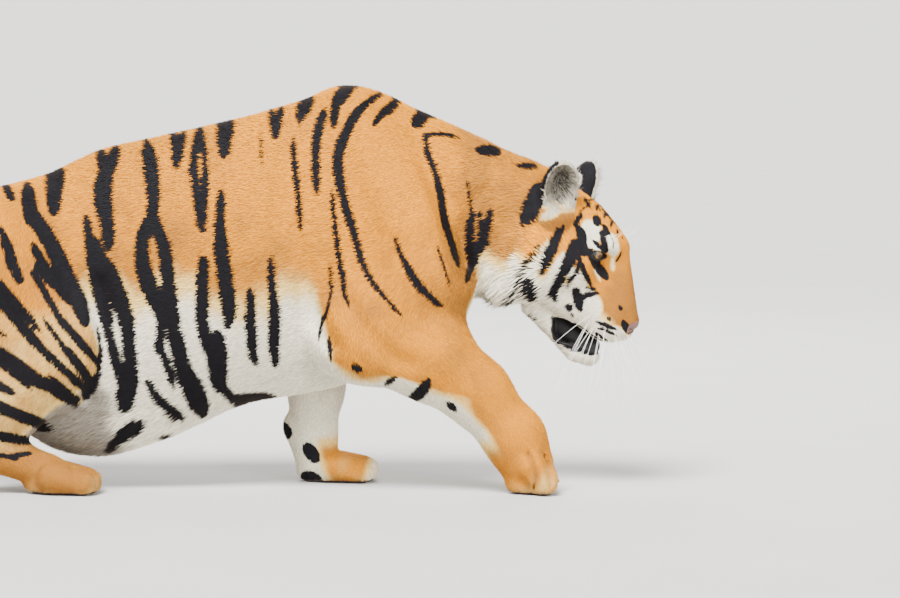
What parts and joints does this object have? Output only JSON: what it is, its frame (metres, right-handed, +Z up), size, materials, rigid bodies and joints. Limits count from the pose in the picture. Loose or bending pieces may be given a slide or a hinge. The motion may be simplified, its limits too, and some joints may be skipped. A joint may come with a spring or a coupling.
{
  "type": "tiger",
  "caption": "Life-size still tiger walking with its head low, one forepaw reaching out, jaws slightly parted and tail hanging in a curve.",
  "frame": {"origin": "on the floor, under the middle of the box that holds the whole animal", "axes": "+X the way the tiger walks, +Y its left, +Z up"},
  "size_m": [2.1454, 0.4114, 0.8484],
  "materials": {
    "striped_coat": "short dense fur, orange with near-black stripes, white below",
    "head_coat": "short fur, orange with black bars and white brow and cheek patches",
    "pale_coat": "white fur of the chin and throat",
    "ear_coat": "pale hair inside, black with a white spot behind",
    "nose_leather": "bare damp skin",
    "eye": "wet, amber-brown"
  },
  "bodies": {
    "root": {"head": "head_coat", "jaw": "pale_coat", "nose": "nose_leather", "left_ear": "ear_coat", "right_ear": "ear_coat", "left_eye": "eye", "right_eye": "eye", "neck": "striped_coat", "chest": "striped_coat", "barrel": "striped_coat", "hindquarters": "striped_coat", "tail_base": "striped_coat", "tail_middle": "striped_coat", "tail_tip": "striped_coat", "left_upper_arm": "striped_coat", "left_forearm": "striped_coat", "left_forepaw": "striped_coat", "right_upper_arm": "striped_coat", "right_forearm": "striped_coat", "right_forepaw": "striped_coat", "left_thigh": "striped_coat", "left_shin": "striped_coat", "left_hind_paw": "striped_coat", "right_thigh": "striped_coat", "right_shin": "striped_coat", "right_hind_paw": "striped_coat"}
  },
  "joints": []
}
